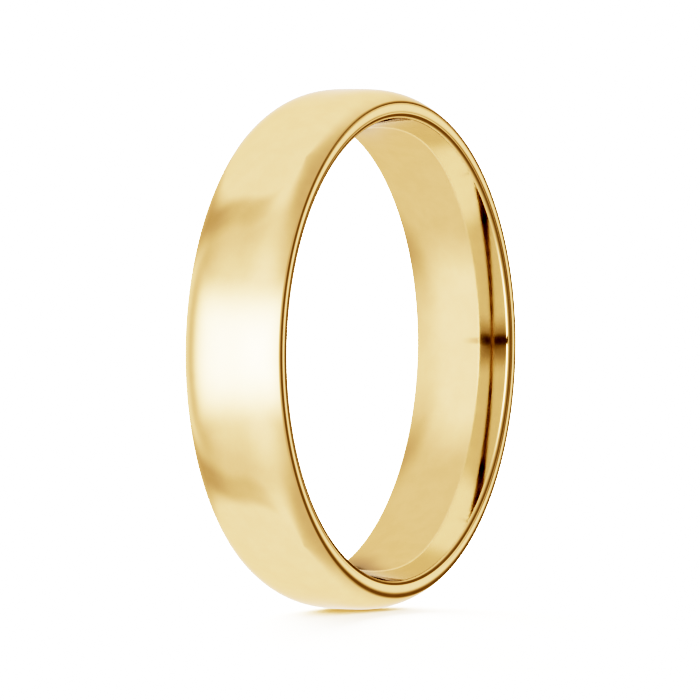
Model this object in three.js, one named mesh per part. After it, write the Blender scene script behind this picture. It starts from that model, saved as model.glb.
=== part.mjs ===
// A plain wedding band of yellow gold.
//
// The band is one piece of metal, turned about its own axis. Its section is a comfort-fit court: a low
// dome outside, a full-width bulge inside for the finger, and a narrow flat land on each side. The four
// edges of the lands are broken with small roundings.
//
// Units are millimetres. The origin is the centre of the finger hole. +Y runs along the band's axis and
// +Z is up, so the band stands on its rim.

import * as THREE from 'three';

// Driving dimensions
const bandWidth = 4.0; // along the axis, from land to land
const boreDiameter = 16.6; // at mid-width, where the finger hole is narrowest (about US ring size 6)
const crownDiameter = 19.4; // over the top of the dome
const landOuterDiameter = 18.42; // where the dome would meet each flat side if its edge were sharp
const landInnerDiameter = 17.22; // where the bore would meet each flat side if its edge were sharp
const domePower = 3.5; // 2 would be a parabola; a higher power is flatter on top and rounder at its sides
const bulgeMiddle = 1.17; // the bore is round this far from mid-width, and nearly conical past it
const outerEdgeBreak = 0.08; // how far the rounding of a land's outer edge reaches from the corner
const innerEdgeBreak = 0.14; // the same for a land's inner edge, which is softer against the finger

// How finely the round shapes are cut into flat facets
const segmentsAround = 48; // a multiple of 4, so that a flat facet faces +X, -X, +Z and -Z
const segmentsPerHalfDome = 8;
const segmentsPerHalfBore = 6;
const segmentsPerEdge = 2;

const halfWidth = bandWidth / 2;
const crownRadius = crownDiameter / 2;
const landOuterRadius = landOuterDiameter / 2;
const landInnerRadius = landInnerDiameter / 2;
const boreRadius = boreDiameter / 2;

// Every facet around the band touches the true circle along its middle, so the band stands on a small
// flat and keeps its full diameter. The corners between facets lie this much further out.
const facetAngle = (2 * Math.PI) / segmentsAround;
const facetCornerScale = 1 / Math.cos(facetAngle / 2);

const outerCorner = new THREE.Vector2(landOuterRadius, halfWidth);
const innerCorner = new THREE.Vector2(landInnerRadius, halfWidth);

// A point of the dome at a distance y from mid-width.
function domePoint(y) {
  const rise = (crownRadius - landOuterRadius) * (1 - (Math.abs(y) / halfWidth) ** domePower);
  return new THREE.Vector2(landOuterRadius + rise, y);
}

// How far a hyperbola with its round middle at y = 0 has risen at a distance y from there, before scaling.
function hyperbolaRise(y) {
  return Math.hypot(1, y / bulgeMiddle) - 1;
}

// A point of the bore at a distance y from mid-width. The bulge is a hyperbola: round in the middle of the
// band, with sides that flare towards both lands.
function borePoint(y) {
  const flare = (landInnerRadius - boreRadius) * (hyperbolaRise(y) / hyperbolaRise(halfWidth));
  return new THREE.Vector2(boreRadius + flare, y);
}

// The points of a curve from y = 0 to y = reach, closer together near the edge, where the dome bends most.
function pointsAlong(curve, reach, count) {
  const points = [];
  for (let i = 0; i <= count; i += 1) {
    points.push(curve(reach * Math.sin((i / count) * (Math.PI / 2))));
  }
  return points;
}

// The rounded edge between two faces that meet at a corner, without its first and last points.
function edgePoints(start, corner, end) {
  const rounding = new THREE.QuadraticBezierCurve(start, corner, end);
  return rounding.getPoints(segmentsPerEdge).slice(1, -1);
}

// The +Y half of the section: from the crown out along the dome, across the land and back to mid-bore.
// Both breaks are measured along Y on the curved side and along the radius on the land.
function halfSection() {
  const dome = pointsAlong(domePoint, halfWidth - outerEdgeBreak, segmentsPerHalfDome);
  const bore = pointsAlong(borePoint, halfWidth - innerEdgeBreak, segmentsPerHalfBore).reverse();
  const landStart = new THREE.Vector2(landOuterRadius - outerEdgeBreak, halfWidth);
  const landEnd = new THREE.Vector2(landInnerRadius + innerEdgeBreak, halfWidth);
  return [
    ...dome,
    ...edgePoints(dome[dome.length - 1], outerCorner, landStart),
    landStart,
    landEnd,
    ...edgePoints(landEnd, innerCorner, bore[0]),
    ...bore,
  ];
}

// The whole section, as one closed loop that ends on its first point.
function closedSection() {
  const half = halfSection();
  const mirrored = half.map((point) => new THREE.Vector2(point.x, -point.y)).reverse();
  return [...half, ...mirrored.slice(1)];
}

// The lathe turns the section about +Y, starting half a facet round from +Z.
function makeBand() {
  const cornerSection = closedSection().map(
    (point) => new THREE.Vector2(point.x * facetCornerScale, point.y),
  );
  const yellowGold = new THREE.MeshStandardMaterial({
    color: new THREE.Color(0.9, 0.68, 0.45),
    roughness: 0.08,
    metalness: 1.0,
  });
  const turned = new THREE.LatheGeometry(cornerSection, segmentsAround, facetAngle / 2);
  const band = new THREE.Mesh(turned, yellowGold);
  band.name = 'band';
  return band;
}

const weddingBand = new THREE.Group();
weddingBand.add(makeBand());

export default weddingBand;
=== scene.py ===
# A plain wedding band of polished yellow gold, standing on its rim on a pale floor in soft studio light.
#
# Everything is in metres, in the CAD frame: +Y along the band's axis, +Z up, the origin in the middle of
# the finger hole.

import math

import bpy
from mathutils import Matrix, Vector


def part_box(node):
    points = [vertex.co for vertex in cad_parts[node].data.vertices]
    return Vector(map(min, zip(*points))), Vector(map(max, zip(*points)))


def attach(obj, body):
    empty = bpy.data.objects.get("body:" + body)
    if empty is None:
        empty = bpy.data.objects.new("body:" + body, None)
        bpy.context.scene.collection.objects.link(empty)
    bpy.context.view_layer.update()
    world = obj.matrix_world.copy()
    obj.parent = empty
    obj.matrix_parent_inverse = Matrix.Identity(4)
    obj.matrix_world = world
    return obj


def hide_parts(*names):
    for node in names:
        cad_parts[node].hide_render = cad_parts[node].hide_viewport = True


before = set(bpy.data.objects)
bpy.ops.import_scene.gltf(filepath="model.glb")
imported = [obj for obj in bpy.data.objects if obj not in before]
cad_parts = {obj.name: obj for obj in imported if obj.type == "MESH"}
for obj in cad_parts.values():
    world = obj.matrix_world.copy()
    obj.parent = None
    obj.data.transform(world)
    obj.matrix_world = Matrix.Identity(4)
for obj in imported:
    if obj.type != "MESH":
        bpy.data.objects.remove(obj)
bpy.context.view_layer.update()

MM = 0.001

# ---------------------------------------------------------------------------------------------------
# Driving dimensions
# ---------------------------------------------------------------------------------------------------

band_low, band_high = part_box("band")
HALF_WIDTH = (band_high.y - band_low.y) / 2
CROWN_RADIUS = (band_high.z - band_low.z) / 2
LAND_OUTER_RADIUS = 9.21 * MM  # where the dome would meet a flat side if its edge were sharp
LAND_INNER_RADIUS = 8.62 * MM  # where the bore would meet it
BORE_RADIUS = 8.3 * MM  # at mid-width
DOME_POWER = 3.5
BULGE_MIDDLE = 1.17 * MM  # the bore is round this far from mid-width, and nearly conical past it
LAND_CROWN = 0.008 * MM  # polishing leaves the middle of each land this much prouder than its borders
OUTER_EDGE_BREAK = 0.06 * MM  # how far the rounding of a land's outer edge reaches, both ways
INNER_EDGE_ON_LAND = 0.2 * MM  # the inner edge is softer, and polished further over the land
INNER_EDGE_IN_BORE = 0.11 * MM
LAND_START = LAND_OUTER_RADIUS - OUTER_EDGE_BREAK
LAND_END = LAND_INNER_RADIUS + INNER_EDGE_ON_LAND

SEGMENTS_AROUND = 440
POINTS_PER_DOME = 72
POINTS_PER_BORE = 72
POINTS_PER_LAND = 14
POINTS_PER_EDGE = 12


# ---------------------------------------------------------------------------------------------------
# The band's section, as points (y, radius)
# ---------------------------------------------------------------------------------------------------

def dome_radius(y):
    """The low dome outside: nearly flat on top, and rounder at its sides."""
    rise = (CROWN_RADIUS - LAND_OUTER_RADIUS) * (1 - (abs(y) / HALF_WIDTH) ** DOME_POWER)
    return LAND_OUTER_RADIUS + rise


def hyperbola_rise(y):
    """How far a hyperbola with its round middle at y = 0 has risen at y, before scaling."""
    return math.hypot(1, y / BULGE_MIDDLE) - 1


def bore_radius(y):
    """The comfort-fit bulge inside, narrowest at mid-width, with sides that flare towards the lands."""
    flare = LAND_INNER_RADIUS - BORE_RADIUS
    return BORE_RADIUS + flare * hyperbola_rise(y) / hyperbola_rise(HALF_WIDTH)


def land_y(radius):
    """The +Y land, a flat ring with a polisher's slight crown."""
    middle = (LAND_START + LAND_END) / 2
    share = (radius - middle) / (LAND_START - middle)
    return HALF_WIDTH - LAND_CROWN * share ** 2


def steps(start, end, count):
    """count + 1 numbers from start to end, closer together near both ends."""
    middle, half = (start + end) / 2, (end - start) / 2
    return [middle - half * math.cos(math.pi * i / count) for i in range(count + 1)]


def round_corner(start, corner, end):
    """The points of a circular arc, or nearly one, that leaves start towards corner and arrives at end."""
    to_start = Vector(start) - Vector(corner)
    to_end = Vector(end) - Vector(corner)
    weight = math.sin(to_start.angle(to_end) / 2)
    points = []
    for i in range(1, POINTS_PER_EDGE):
        t = i / POINTS_PER_EDGE
        shares = ((1 - t) ** 2, 2 * weight * t * (1 - t), t ** 2)
        total = sum(shares)
        points.append(tuple(
            (shares[0] * a + shares[1] * b + shares[2] * c) / total
            for a, b, c in zip(start, corner, end)
        ))
    return points


def section():
    """The closed section, anticlockwise from the -Y end of the dome."""
    dome_end = HALF_WIDTH - OUTER_EDGE_BREAK
    bore_end = HALF_WIDTH - INNER_EDGE_IN_BORE
    dome = [(y, dome_radius(y)) for y in steps(-dome_end, dome_end, POINTS_PER_DOME)]
    bore = [(y, bore_radius(y)) for y in steps(bore_end, -bore_end, POINTS_PER_BORE)]
    far_land = [(land_y(r), r) for r in steps(LAND_START, LAND_END, POINTS_PER_LAND)]
    near_land = [(-y, r) for y, r in reversed(far_land)]
    outer_corner = (HALF_WIDTH - LAND_CROWN, LAND_OUTER_RADIUS)
    inner_corner = (HALF_WIDTH - LAND_CROWN, LAND_INNER_RADIUS)
    far_outer_edge = round_corner(dome[-1], outer_corner, far_land[0])
    far_inner_edge = round_corner(far_land[-1], inner_corner, bore[0])
    near_inner_edge = [(-y, r) for y, r in reversed(far_inner_edge)]
    near_outer_edge = [(-y, r) for y, r in reversed(far_outer_edge)]
    return (
        dome + far_outer_edge + far_land + far_inner_edge
        + bore + near_inner_edge + near_land + near_outer_edge
    )


def make_band():
    """The whole band: its section turned about the Y axis."""
    outline = section()
    count = len(outline)
    points = []
    for i in range(SEGMENTS_AROUND):
        angle = 2 * math.pi * i / SEGMENTS_AROUND
        points += [(r * math.cos(angle), y, r * math.sin(angle)) for y, r in outline]
    faces = []
    for i in range(SEGMENTS_AROUND):
        here = i * count
        there = ((i + 1) % SEGMENTS_AROUND) * count
        for k in range(count):
            after = (k + 1) % count
            faces.append((here + k, here + after, there + after, there + k))
    mesh = bpy.data.meshes.new("polished_band")
    mesh.from_pydata(points, [], faces)
    mesh.shade_smooth()
    mesh.update()
    band = bpy.data.objects.new("polished_band", mesh)
    bpy.context.scene.collection.objects.link(band)
    return band


# ---------------------------------------------------------------------------------------------------
# Camera
# ---------------------------------------------------------------------------------------------------

VIEW_AZIMUTH = math.radians(-61.3)
VIEW_ELEVATION = math.radians(1.75)
CAMERA_DISTANCE = 368 * MM
LENS = 508  # a long lens on a 36 mm wide sensor
CAMERA_LEFT = 0.14 * MM  # the band stands a little right of the middle of the frame
CAMERA_DOWN = 0.04 * MM


def make_camera():
    """A product photographer's long lens, almost level with the band and well round to its side."""
    level = math.cos(VIEW_ELEVATION)
    back = Vector((
        math.sin(VIEW_AZIMUTH) * level, -math.cos(VIEW_AZIMUTH) * level, math.sin(VIEW_ELEVATION),
    ))
    right = Vector((math.cos(VIEW_AZIMUTH), math.sin(VIEW_AZIMUTH), 0))
    up = back.cross(right)
    data = bpy.data.cameras.new("camera")
    data.sensor_width = 36
    data.lens = LENS
    data.clip_start = CAMERA_DISTANCE / 20
    data.clip_end = CAMERA_DISTANCE * 20
    camera = bpy.data.objects.new("camera", data)
    camera.location = back * CAMERA_DISTANCE - right * CAMERA_LEFT - up * CAMERA_DOWN
    camera.rotation_mode = "QUATERNION"
    camera.rotation_quaternion = (-back).to_track_quat("-Z", "Y")
    bpy.context.scene.collection.objects.link(camera)
    bpy.context.scene.camera = camera


# ---------------------------------------------------------------------------------------------------
# Node helpers
# ---------------------------------------------------------------------------------------------------

class Nodes:
    """A node tree with short calls to add nodes and wire them up."""

    def __init__(self, tree):
        self.tree = tree

    def put(self, value, socket):
        """Wires a socket up, or sets a plain value on it."""
        if isinstance(value, bpy.types.NodeSocket):
            self.tree.links.new(value, socket)
        else:
            socket.default_value = value

    def add(self, kind, inputs=(), **settings):
        """A new node. inputs are pairs of an input's name or number and its value or source."""
        node = self.tree.nodes.new("ShaderNode" + kind)
        for name, value in settings.items():
            setattr(node, name, value)
        for key, value in inputs:
            self.put(value, node.inputs[key])
        return node

    def math(self, operation, *values, clamp=False):
        """The result of one Math node."""
        return self.add("Math", enumerate(values), operation=operation, use_clamp=clamp).outputs[0]

    def ramp(self, value, start, end, low=0.0, high=1.0):
        """low below start, high above end, and a smooth rise between them."""
        node = self.add("MapRange", (
            ("Value", value), ("From Min", start), ("From Max", end), ("To Min", low), ("To Max", high),
        ), interpolation_type="SMOOTHSTEP")
        return node.outputs[0]

    def mix(self, share, first, second):
        """A brightness that goes from the first to the second as share goes from 0 to 1."""
        return self.add("Mix", ((0, share), (2, first), (3, second)), data_type="FLOAT").outputs[0]

    def noise(self, vector, scale, detail, w=None):
        """A noise field's value, about 0.5 on average."""
        inputs = [("Vector", vector), ("Scale", scale), ("Detail", detail)]
        if w is not None:
            inputs.append(("W", w))
        return self.add("TexNoise", inputs, noise_dimensions="3D" if w is None else "4D").outputs[0]


# ---------------------------------------------------------------------------------------------------
# Studio
# ---------------------------------------------------------------------------------------------------

# The studio's directions are in degrees: 0 is -X, which the dome faces, -90 is behind the band and 90 is on
# its near side.
FRONT, BACK, NEAR_SIDE = 0, -90, 90
CAMERA_SIDE = 90 + math.degrees(VIEW_AZIMUTH)
LAND_MIRROR = 180 - CAMERA_SIDE  # what the camera sees in the near land
FLAG_HEIGHT = 30
SOFTBOX_HALF_WIDTH = 45

# The studio is a tent of pale cloth, open towards the room on its near side, with one strip softbox in
# front of the dome, and a pair of flags above and below. Each entry is where one of them stands, its half
# width and half height, its roll, how square it is (2 is an ellipse, and higher is nearer to a box), the
# softness of its edge as a share of its size, and its brightness. A later entry covers an earlier one.
TENT_BRIGHTNESS = 1.5
STUDIO = (
    ("room", NEAR_SIDE, 0, 90, 90, 0, 2, 0.3, 1.0),
    ("front_wall", FRONT, 0, 90, 60, 0, 2, 0.2, 1.0),
    ("glow", FRONT, 0, SOFTBOX_HALF_WIDTH, SOFTBOX_HALF_WIDTH, 0, 2, 1.0, 2.0),
    ("softbox", FRONT, 0, SOFTBOX_HALF_WIDTH, SOFTBOX_HALF_WIDTH / 3, 0, 4, 1.0, 4.0),
    ("top_flag", BACK, FLAG_HEIGHT, 45, 6, FLAG_HEIGHT, 4, 0.8, 0.9),
    ("low_flag", BACK, -FLAG_HEIGHT, 45, 6, -FLAG_HEIGHT, 4, 0.8, 0.9),
    ("land_surround", LAND_MIRROR, 0, 40, 30, 0, 2, 0.5, 0.5),
    ("land_card", LAND_MIRROR, 0, 5, 5, 0, 2, 0.5, 1.5),
)

# What the bore sees past the band's two sides: a plainer studio than the dome's, with two thin dark strips
# that give the bore its dark lines.
NEAR_OPENING = 50  # past the near side of the band
VEIL_BRIGHTNESS = 1.2
THROUGH_VEIL = (
    ("far_rim", BACK, 0, 45, 40, 0, 2, 0.1, 0.8),
    ("far_glow", BACK, 10, 35, 25, 0, 2, 0.2, 1.2),
    ("panel", FRONT, 0, 60, 45, 0, 4, 0.3, 1.6),
    ("near_glow", NEAR_OPENING, 0, 35, 30, 0, 4, 0.5, 3.0),
    ("near_shade", 180, 5, 50, 15, 0, 4, 0.9, 0.6),
    ("strip", 180, 8, 40, 4, 0, 4, 0.8, 0.3),
    ("camera", NEAR_OPENING, -3, 55, 1.5, 0, 4, 0.4, 0.25),
)

WHITE_OUT = 5.0  # far above the brightest tone, so that the backdrop is plain white
AMBIENT = 2.3  # the tent's light on the floor


def softbox_group():
    """A node group that lays one soft shape over the brightness so far."""
    group = bpy.data.node_groups.new("softbox", "ShaderNodeTree")
    names = (
        "Behind", "Azimuth", "Elevation", "At Azimuth", "At Elevation", "Half Width", "Half Height",
        "Roll", "Squareness", "Softness", "Brightness",
    )
    for name in names:
        group.interface.new_socket(name, in_out="INPUT", socket_type="NodeSocketFloat")
    group.interface.new_socket("Brightness", in_out="OUTPUT", socket_type="NodeSocketFloat")
    n = Nodes(group)
    into = group.nodes.new("NodeGroupInput").outputs
    across = n.math("SUBTRACT", into["Azimuth"], into["At Azimuth"])
    across = n.math("WRAP", across, 180.0, -180.0)
    above = n.math("SUBTRACT", into["Elevation"], into["At Elevation"])
    roll = n.math("RADIANS", into["Roll"])
    cosine, sine = n.math("COSINE", roll), n.math("SINE", roll)
    along = n.math("ADD", n.math("MULTIPLY", across, cosine), n.math("MULTIPLY", above, sine))
    aside = n.math("SUBTRACT", n.math("MULTIPLY", above, cosine), n.math("MULTIPLY", across, sine))
    along = n.math("DIVIDE", n.math("ABSOLUTE", along), into["Half Width"])
    aside = n.math("DIVIDE", n.math("ABSOLUTE", aside), into["Half Height"])
    power = into["Squareness"]
    far = n.math("ADD", n.math("POWER", along, power), n.math("POWER", aside, power))
    far = n.math("POWER", far, n.math("DIVIDE", 1.0, power))
    inner = n.math("SUBTRACT", 1.0, into["Softness"])
    outer = n.math("ADD", 1.0, into["Softness"])
    cover = n.ramp(far, inner, outer, 1.0, 0.0)
    rise = n.math("SUBTRACT", into["Brightness"], into["Behind"])
    result = n.math("MULTIPLY_ADD", rise, cover, into["Behind"])
    out = group.nodes.new("NodeGroupOutput")
    group.links.new(result, out.inputs[0])
    return group


def lay_softboxes(n, group, azimuth, elevation, brightness, softboxes):
    """The brightness of a set of softboxes in the direction (azimuth, elevation)."""
    for name, *numbers in softboxes:
        softbox = n.add("Group", node_tree=group, name=name)
        values = (brightness, azimuth, elevation, *map(float, numbers))
        for socket, value in zip(softbox.inputs, values):
            n.put(value, socket)
        brightness = softbox.outputs[0]
    return brightness


def make_world():
    """Reflections see the studio, the floor gets an even light, and the camera sees plain white."""
    world = bpy.data.worlds.new("studio")
    world.use_nodes = True
    world.node_tree.nodes.clear()
    world.cycles.sampling_method = "NONE"  # the band's own mirror rays find every softbox
    bpy.context.scene.world = world
    n = Nodes(world.node_tree)
    direction = n.add("TexCoord").outputs["Generated"]
    part = n.add("SeparateXYZ", ((0, direction),)).outputs
    azimuth = n.math("ARCTAN2", n.math("MULTIPLY", part[1], -1.0), n.math("MULTIPLY", part[0], -1.0))
    azimuth = n.math("DEGREES", azimuth)
    elevation = n.math("DEGREES", n.math("ARCSINE", part[2]))
    group = softbox_group()
    studio = lay_softboxes(n, group, azimuth, elevation, TENT_BRIGHTNESS, STUDIO)
    inside = lay_softboxes(n, group, azimuth, elevation, VEIL_BRIGHTNESS, THROUGH_VEIL)
    path = n.add("LightPath").outputs
    through_veil = n.math("GREATER_THAN", path["Transparent Depth"], 0.5)
    seen = n.mix(through_veil, studio, inside)
    seen = n.mix(path["Is Diffuse Ray"], seen, AMBIENT)
    seen = n.mix(path["Is Camera Ray"], seen, WHITE_OUT)
    background = n.add("Background", (("Color", (1, 1, 1, 1)), ("Strength", seen)))
    n.add("OutputWorld", (("Surface", background.outputs[0]),))


VEIL_MARGIN = 0.02 * MM  # how far outside the band's sides the veils hang
VEIL_RADIUS = LAND_INNER_RADIUS - 0.01 * MM
VEIL_SIDES = 96


def make_veil():
    """A clear sheet over each end of the bore. A mirror ray through it sees the second set of lights."""
    mesh = bpy.data.meshes.new("bore_veil")
    points = []
    for y in (HALF_WIDTH + VEIL_MARGIN, -HALF_WIDTH - VEIL_MARGIN):
        for i in range(VEIL_SIDES):
            angle = 2 * math.pi * i / VEIL_SIDES
            points.append((VEIL_RADIUS * math.cos(angle), y, VEIL_RADIUS * math.sin(angle)))
    mesh.from_pydata(points, [], [range(VEIL_SIDES), range(VEIL_SIDES, 2 * VEIL_SIDES)])
    veil = bpy.data.objects.new("bore_veil", mesh)
    bpy.context.scene.collection.objects.link(veil)
    material = bpy.data.materials.new("veil")
    material.use_nodes = True
    material.node_tree.nodes.clear()
    n = Nodes(material.node_tree)
    clear = n.add("BsdfTransparent", (("Color", (1, 1, 1, 1)),))
    n.add("OutputMaterial", (("Surface", clear.outputs[0]),))
    mesh.materials.append(material)
    veil.visible_camera = False
    veil.visible_diffuse = False
    veil.visible_shadow = False
    return veil


FLOOR_REACH = 1.2  # metres from the band
FLOOR_COLOUR = (0.95, 0.88, 0.77, 1)
FLOOR_ROUGHNESS = 0.9


def make_floor():
    """A pale floor under the band, bright enough to run into the white backdrop."""
    mesh = bpy.data.meshes.new("floor")
    signs = [(-1, -1), (1, -1), (1, 1), (-1, 1)]
    corners = [(x * FLOOR_REACH, y * FLOOR_REACH, band_low.z) for x, y in signs]
    mesh.from_pydata(corners, [], [(0, 1, 2, 3)])
    floor = bpy.data.objects.new("floor", mesh)
    bpy.context.scene.collection.objects.link(floor)
    material = bpy.data.materials.new("pale_floor")
    material.use_nodes = True
    shader = material.node_tree.nodes["Principled BSDF"].inputs
    shader["Base Color"].default_value = FLOOR_COLOUR
    shader["Roughness"].default_value = FLOOR_ROUGHNESS
    shader["Specular IOR Level"].default_value = 0.0
    mesh.materials.append(material)
    floor.visible_glossy = False
    return floor


BACK_LIGHT_POWER = 58.0
BACK_LIGHT_WIDTH = math.radians(34)
BACK_LIGHT_AZIMUTH = VIEW_AZIMUTH + math.radians(192)  # behind the band, seen from the camera
BACK_LIGHT_HEIGHT = math.radians(12)


def make_back_light():
    """A wide soft light behind the band, which throws its faint shadow towards the camera."""
    data = bpy.data.lights.new("back_light", "SUN")
    data.energy = BACK_LIGHT_POWER
    data.angle = BACK_LIGHT_WIDTH
    light = bpy.data.objects.new("back_light", data)
    level = math.cos(BACK_LIGHT_HEIGHT)
    towards = Vector((
        math.sin(BACK_LIGHT_AZIMUTH) * level, -math.cos(BACK_LIGHT_AZIMUTH) * level,
        math.sin(BACK_LIGHT_HEIGHT),
    ))
    light.rotation_mode = "QUATERNION"
    light.rotation_quaternion = towards.to_track_quat("Z", "Y")
    light.visible_glossy = False
    light.visible_camera = False
    bpy.context.scene.collection.objects.link(light)


# ---------------------------------------------------------------------------------------------------
# Gold
# ---------------------------------------------------------------------------------------------------

GOLD = (0.9, 0.68, 0.45)
EDGE_TINT = (0.97, 0.88, 0.78, 1)  # gold keeps some of its colour even where it is seen edge on
PAINTED_PALE_REFLECTION_GOLD = (0.9, 0.9, 0.88, 1)  # painted light: a paler copy of the gold, shown only where the band is seen in its own reflection, so that gold seen in gold doesn't turn orange
PAINTED_DARK_REFLECTION_GOLD = (0.36, 0.33, 0.3, 1)  # painted shade: a dark copy of the gold, shown in third and later reflections in the bore, which it makes far darker

NOISE_LOW, NOISE_HIGH = 0.3, 0.7  # the part of a noise field's range that is used
SMOOTHEST, ROUGHEST = 0.045, 0.075  # roughness, from fresh polish to the faintest wear
SHADE_SPREAD = 0.015  # how much lighter or darker the gold is in places
LINES_ACROSS = 12.0  # how much finer the polishing lines are across the band than around it
SWELL_HEIGHT = 0.004 * MM  # of the slow ripple that hand polishing leaves
LINE_HEIGHT = 0.002 * MM


def make_gold():
    """Polished 14 karat gold, with the faint marks of the polishing wheel running round the band, and painted
    light and shade in its reflections of itself: a paler copy of the gold where gold is seen in gold, and a
    dark copy for third and later reflections.
    """
    material = bpy.data.materials.new("polished_gold")
    material.use_nodes = True
    material.node_tree.nodes.clear()
    n = Nodes(material.node_tree)
    place = n.add("SeparateXYZ", ((0, n.add("TexCoord").outputs["Object"]),)).outputs
    x, y, z = (n.math("DIVIDE", place[i], MM) for i in range(3))
    radius = n.math("SQRT", n.math("ADD", n.math("MULTIPLY", x, x), n.math("MULTIPLY", z, z)))
    around_x, around_z = n.math("DIVIDE", x, radius), n.math("DIVIDE", z, radius)
    # millimetres across the band, and hardly any change around it
    across = n.math("MULTIPLY", y, LINES_ACROSS)
    lane = n.add("CombineXYZ", ((0, around_x), (1, across), (2, around_z))).outputs[0]
    hairlines = n.noise(lane, 2.2, 3.0, n.math("MULTIPLY", radius, LINES_ACROSS))
    spot = n.add("CombineXYZ", ((0, x), (1, y), (2, z))).outputs[0]
    ripples = n.noise(spot, 0.35, 1.0)
    clouds = n.noise(spot, 1.4, 3.0)

    shade = n.ramp(clouds, NOISE_LOW, NOISE_HIGH, 1 - SHADE_SPREAD, 1 + SHADE_SPREAD)
    tint = n.add("VectorMath", ((0, GOLD), (3, shade)), operation="SCALE").outputs[0]
    wear = n.math("MULTIPLY_ADD", clouds, 0.5, n.math("MULTIPLY", hairlines, 0.5))
    roughness = n.ramp(wear, NOISE_LOW, NOISE_HIGH, SMOOTHEST, ROUGHEST)
    swell = n.add("Bump", (("Strength", 0.1), ("Distance", SWELL_HEIGHT), ("Height", ripples)))
    marks = n.add("Bump", (
        ("Strength", 0.05), ("Distance", LINE_HEIGHT), ("Height", hairlines), ("Normal", swell.outputs[0]),
    ))
    gold = n.add("BsdfPrincipled", (
        ("Base Color", tint), ("Metallic", 1.0), ("Roughness", roughness), ("Normal", marks.outputs[0]),
        ("Specular Tint", EDGE_TINT),
    ))
    # The band's reflections of itself use painted copies of the gold: the pale one as painted light, and from
    # the third reflection on the dark one as painted shade.
    path = n.add("LightPath").outputs
    pale, deep = (
        n.add("BsdfPrincipled", (
            ("Base Color", colour), ("Metallic", 1.0), ("Roughness", roughness), ("Normal", marks.outputs[0]),
        )) for colour in (PAINTED_PALE_REFLECTION_GOLD, PAINTED_DARK_REFLECTION_GOLD)
    )
    is_third = n.math("GREATER_THAN", path["Glossy Depth"], 1.5)
    later = n.add("MixShader", ((0, is_third), (1, pale.outputs[0]), (2, deep.outputs[0])))
    shader = n.add("MixShader", ((0, path["Is Glossy Ray"]), (1, gold.outputs[0]), (2, later.outputs[0])))
    n.add("OutputMaterial", (("Surface", shader.outputs[0]),))
    return material


# ---------------------------------------------------------------------------------------------------
# Tones
# ---------------------------------------------------------------------------------------------------

BLACK_POINT = 0.2
WHITE_POINT = 4.0
HALF_TONE = 0.55  # this far above the black point, the display is at half its brightness
CONTRAST = 2.2
TONE_POINTS = 12


def tone(brightness):
    """The display brightness of a scene brightness above the black point: firm shadows, soft highlights."""
    return brightness ** CONTRAST / (brightness ** CONTRAST + HALF_TONE ** CONTRAST)


def set_tones():
    """A contrasty product-photo tone curve, on top of the plain Standard view."""
    view = bpy.context.scene.view_settings
    view.view_transform = "Standard"
    view.look = "None"
    view.use_curve_mapping = True
    mapping = view.curve_mapping
    mapping.black_level = (BLACK_POINT,) * 3
    mapping.white_level = (WHITE_POINT,) * 3
    mapping.extend = "HORIZONTAL"
    curve = mapping.curves[3]
    reach = WHITE_POINT - BLACK_POINT
    shares = [(i / TONE_POINTS) ** 2 for i in range(TONE_POINTS + 1)]
    spots = [(share, tone(share * reach) / tone(reach)) for share in shares]
    curve.points[0].location = spots[0]
    curve.points[1].location = spots[-1]
    for spot in spots[1:-1]:
        curve.points.new(*spot)
    mapping.update()


# ---------------------------------------------------------------------------------------------------
# Assembly
# ---------------------------------------------------------------------------------------------------

make_camera()
make_world()
make_back_light()
set_tones()
bpy.context.scene.cycles.glossy_bounces = 3  # the bore shows four reflections and no more

polished_band = make_band()
polished_band.data.materials.append(make_gold())
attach(polished_band, "root")
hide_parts("band")
make_floor()
make_veil()
